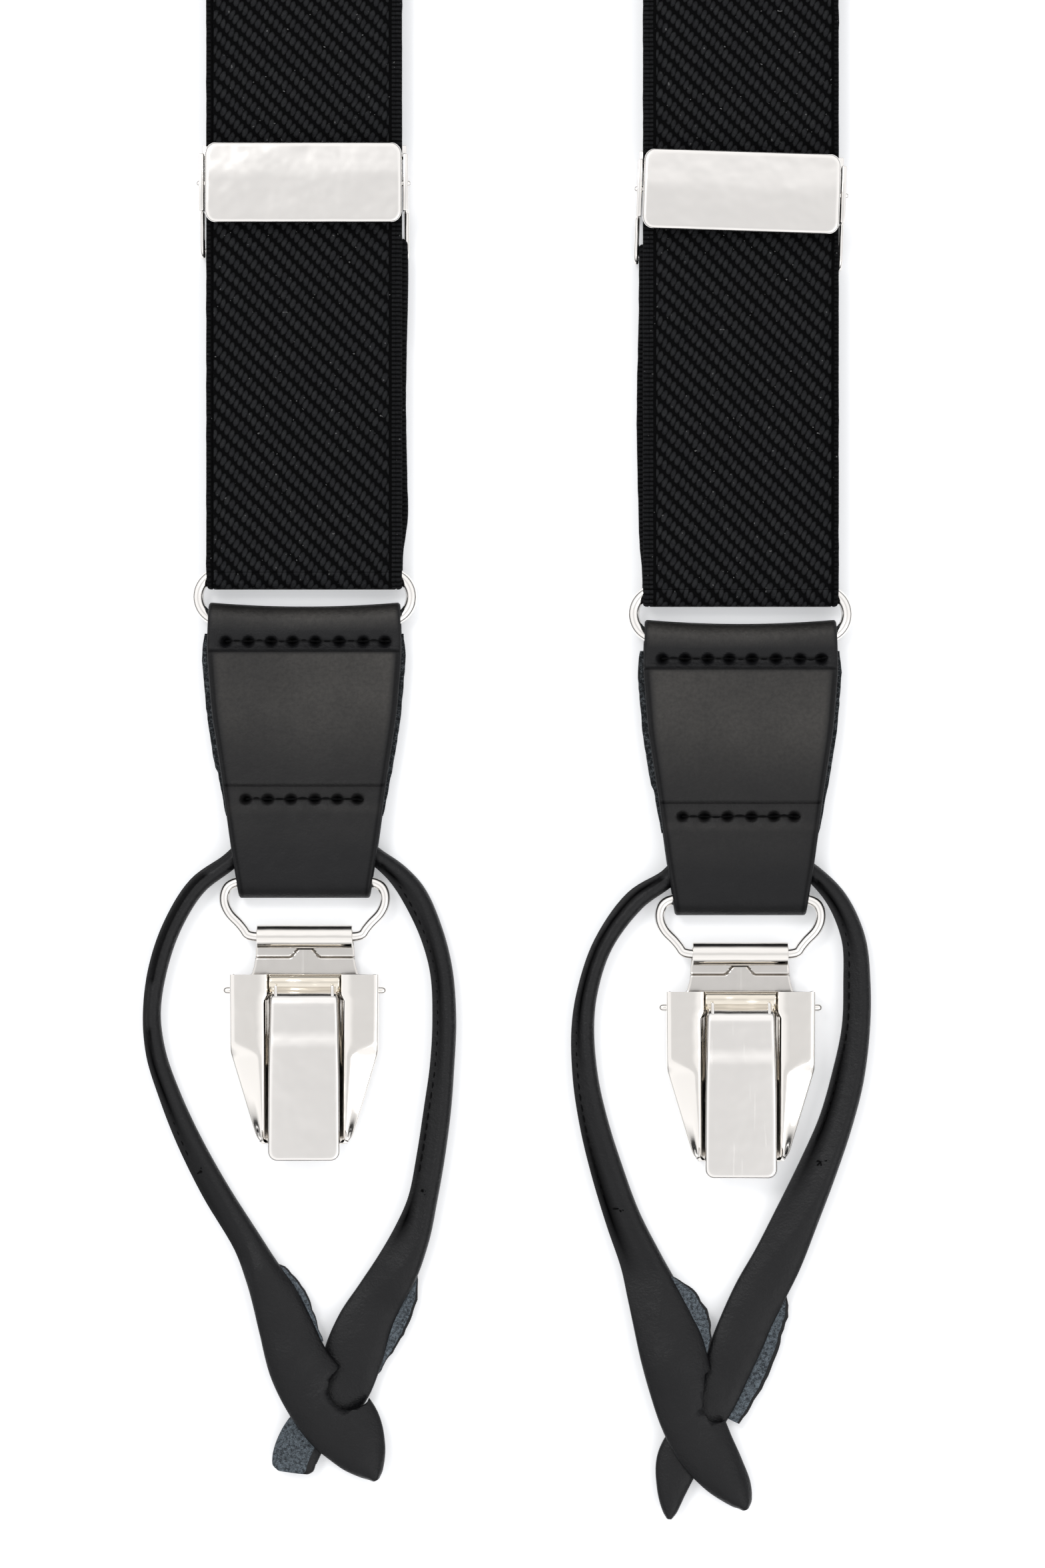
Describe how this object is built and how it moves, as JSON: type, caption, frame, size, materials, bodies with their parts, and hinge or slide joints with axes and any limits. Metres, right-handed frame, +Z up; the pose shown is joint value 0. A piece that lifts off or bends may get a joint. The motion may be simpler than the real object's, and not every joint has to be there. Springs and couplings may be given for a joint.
{
  "type": "suspenders",
  "caption": "Y-back elastic suspenders with flip-cover length adjusters, leather tabs, flip-lever clips and rolled-leather button loops.",
  "frame": {"origin": "middle of the back patch's flat underside", "axes": "+Z up, out of the suspenders' outer faces; +Y towards the rear strap and rear clip; the two front straps run to -Y; +X to the right when looking along +Y"},
  "size_m": [0.1291, 1.0616, 0.0099],
  "materials": {
    "webbing": "matt twill-woven elastic",
    "leather": "smooth satin calf leather, black",
    "suede": "raw cut edge and flesh side, grey-blue",
    "nickel": "polished nickel plate",
    "spring": "bright warm-tinted spring plate",
    "pad": "ribbed moulded pad"
  },
  "bodies": {
    "back_patch_and_straps": {"patch_back": "leather", "patch_front": "leather", "rear_strap": "webbing", "left_strap": "webbing", "right_strap": "webbing"},
    "left_ring_end": {"left_strap_turn": "webbing"},
    "left_adjuster": {"left_strap_return": "webbing", "left_adjuster_frame": "nickel", "left_adjuster_pin": "nickel"},
    "left_adjuster_cover": {"left_adjuster_cover": "nickel"},
    "left_ring": {"left_ring": "nickel"},
    "left_tab": {"left_tab": "leather", "left_tab_lining": "suede"},
    "left_clip_wire": {"left_clip_wire": "nickel"},
    "left_clip": {"left_clip_back_jaw": "nickel", "left_clip_jaw_pad": "pad", "left_clip_pin": "nickel"},
    "left_clip_front_jaw": {"left_clip_body": "nickel", "left_clip_spring": "spring"},
    "left_clip_lever": {"left_clip_lever": "nickel"},
    "left_button_loop": {"left_button_loop": "leather"},
    "right_ring_end": {"right_strap_turn": "webbing"},
    "right_adjuster": {"right_strap_return": "webbing", "right_adjuster_frame": "nickel", "right_adjuster_pin": "nickel"},
    "right_adjuster_cover": {"right_adjuster_cover": "nickel"},
    "right_ring": {"right_ring": "nickel"},
    "right_tab": {"right_tab": "leather", "right_tab_lining": "suede"},
    "right_clip_wire": {"right_clip_wire": "nickel"},
    "right_clip": {"right_clip_back_jaw": "nickel", "right_clip_jaw_pad": "pad", "right_clip_pin": "nickel"},
    "right_clip_front_jaw": {"right_clip_body": "nickel", "right_clip_spring": "spring"},
    "right_clip_lever": {"right_clip_lever": "nickel"},
    "right_button_loop": {"right_button_loop": "leather"},
    "rear_ring": {"rear_ring": "nickel"},
    "rear_tab": {"rear_tab": "leather", "rear_tab_lining": "suede"},
    "rear_clip_wire": {"rear_clip_wire": "nickel"},
    "rear_clip": {"rear_clip_back_jaw": "nickel", "rear_clip_jaw_pad": "pad", "rear_clip_pin": "nickel"},
    "rear_clip_front_jaw": {"rear_clip_body": "nickel", "rear_clip_spring": "spring"},
    "rear_clip_lever": {"rear_clip_lever": "nickel"},
    "rear_button_loop": {"rear_button_loop": "leather"}
  },
  "joints": [
    {"name": "left_length", "type": "slide", "parent": "back_patch_and_straps", "child": "left_ring_end", "axis": [0, 1, 0], "range_m": [0, 0.04], "deforming": ["left_strap"]},
    {"name": "left_adjuster_slide", "type": "slide", "parent": "left_ring_end", "child": "left_adjuster", "axis": [0, 1, 0], "range_m": [0, 0.04], "deforming": ["left_strap_return"]},
    {"name": "left_adjuster_cover_hinge", "type": "hinge", "parent": "left_adjuster", "child": "left_adjuster_cover", "pos_m": [-0.039, -0.5013, 0.00755], "axis": [-1, 0, 0], "range_deg": [0, 22]},
    {"name": "left_ring_hinge", "type": "hinge", "parent": "left_ring_end", "child": "left_ring", "pos_m": [-0.039, -0.57045, 0.00315], "axis": [-1, 0, 0], "range_deg": [0, 30]},
    {"name": "left_tab_hinge", "type": "hinge", "parent": "left_ring", "child": "left_tab", "pos_m": [-0.039, -0.57915, 0.00315], "axis": [-1, 0, 0], "range_deg": [0, 35]},
    {"name": "left_clip_wire_hinge", "type": "hinge", "parent": "left_tab", "child": "left_clip_wire", "pos_m": [-0.039, -0.62575, 0.00315], "axis": [-1, 0, 0], "range_deg": [0, 45]},
    {"name": "left_clip_hinge", "type": "hinge", "parent": "left_clip_wire", "child": "left_clip", "pos_m": [-0.039, -0.6356, 0.00315], "axis": [-1, 0, 0], "range_deg": [0, 40]},
    {"name": "left_lever_hinge", "type": "hinge", "parent": "left_clip", "child": "left_clip_lever", "pos_m": [-0.039, -0.6452, 0.0036], "axis": [-1, 0, 0], "range_deg": [0, 100]},
    {"name": "left_front_jaw_hinge", "type": "hinge", "parent": "left_clip", "child": "left_clip_front_jaw", "pos_m": [-0.039, -0.6452, 0.0036], "axis": [-1, 0, 0], "range_deg": [0, 12]},
    {"name": "left_button_loop_hinge", "type": "hinge", "parent": "left_tab", "child": "left_button_loop", "pos_m": [-0.039, -0.62, 0.00315], "axis": [-1, 0, 0], "range_deg": [0, 35]},
    {"name": "right_length", "type": "slide", "parent": "back_patch_and_straps", "child": "right_ring_end", "axis": [0, 1, 0], "range_m": [0, 0.04], "deforming": ["right_strap"]},
    {"name": "right_adjuster_slide", "type": "slide", "parent": "right_ring_end", "child": "right_adjuster", "axis": [0, 1, 0], "range_m": [0, 0.04], "deforming": ["right_strap_return"]},
    {"name": "right_adjuster_cover_hinge", "type": "hinge", "parent": "right_adjuster", "child": "right_adjuster_cover", "pos_m": [0.039, -0.5029, 0.00755], "axis": [-0.9995, 0.0332, 0], "range_deg": [0, 22]},
    {"name": "right_ring_hinge", "type": "hinge", "parent": "right_ring_end", "child": "right_ring", "pos_m": [0.039, -0.57355, 0.00315], "axis": [-1, 0, 0], "range_deg": [0, 30]},
    {"name": "right_tab_hinge", "type": "hinge", "parent": "right_ring", "child": "right_tab", "pos_m": [0.039, -0.58225, 0.00315], "axis": [-1, 0, 0], "range_deg": [0, 35]},
    {"name": "right_clip_wire_hinge", "type": "hinge", "parent": "right_tab", "child": "right_clip_wire", "pos_m": [0.039, -0.62885, 0.00315], "axis": [-1, 0, 0], "range_deg": [0, 45]},
    {"name": "right_clip_hinge", "type": "hinge", "parent": "right_clip_wire", "child": "right_clip", "pos_m": [0.039, -0.6387, 0.00315], "axis": [-1, 0, 0], "range_deg": [0, 40]},
    {"name": "right_lever_hinge", "type": "hinge", "parent": "right_clip", "child": "right_clip_lever", "pos_m": [0.039, -0.6483, 0.0036], "axis": [-1, 0, 0], "range_deg": [0, 100]},
    {"name": "right_front_jaw_hinge", "type": "hinge", "parent": "right_clip", "child": "right_clip_front_jaw", "pos_m": [0.039, -0.6483, 0.0036], "axis": [-1, 0, 0], "range_deg": [0, 12]},
    {"name": "right_button_loop_hinge", "type": "hinge", "parent": "right_tab", "child": "right_button_loop", "pos_m": [0.039, -0.6231, 0.00315], "axis": [-1, 0, 0], "range_deg": [0, 35]},
    {"name": "rear_ring_hinge", "type": "hinge", "parent": "back_patch_and_straps", "child": "rear_ring", "pos_m": [0, 0.16045, 0.00315], "axis": [1, 0, 0], "range_deg": [0, 30]},
    {"name": "rear_tab_hinge", "type": "hinge", "parent": "rear_ring", "child": "rear_tab", "pos_m": [0, 0.16915, 0.00315], "axis": [1, 0, 0], "range_deg": [0, 35]},
    {"name": "rear_clip_wire_hinge", "type": "hinge", "parent": "rear_tab", "child": "rear_clip_wire", "pos_m": [0, 0.21575, 0.00315], "axis": [1, 0, 0], "range_deg": [0, 45]},
    {"name": "rear_clip_hinge", "type": "hinge", "parent": "rear_clip_wire", "child": "rear_clip", "pos_m": [0, 0.2256, 0.00315], "axis": [1, 0, 0], "range_deg": [0, 40]},
    {"name": "rear_lever_hinge", "type": "hinge", "parent": "rear_clip", "child": "rear_clip_lever", "pos_m": [0, 0.2352, 0.0036], "axis": [1, 0, 0], "range_deg": [0, 100]},
    {"name": "rear_front_jaw_hinge", "type": "hinge", "parent": "rear_clip", "child": "rear_clip_front_jaw", "pos_m": [0, 0.2352, 0.0036], "axis": [1, 0, 0], "range_deg": [0, 12]},
    {"name": "rear_button_loop_hinge", "type": "hinge", "parent": "rear_tab", "child": "rear_button_loop", "pos_m": [0, 0.21, 0.00315], "axis": [1, 0, 0], "range_deg": [0, 35]}
  ],
  "couplings": [
    {"joint": "left_adjuster_slide", "follows": "left_length", "ratio": 1},
    {"joint": "left_front_jaw_hinge", "follows": "left_lever_hinge", "ratio": 0.12},
    {"joint": "right_adjuster_slide", "follows": "right_length", "ratio": 1},
    {"joint": "right_front_jaw_hinge", "follows": "right_lever_hinge", "ratio": 0.12},
    {"joint": "rear_front_jaw_hinge", "follows": "rear_lever_hinge", "ratio": 0.12}
  ]
}
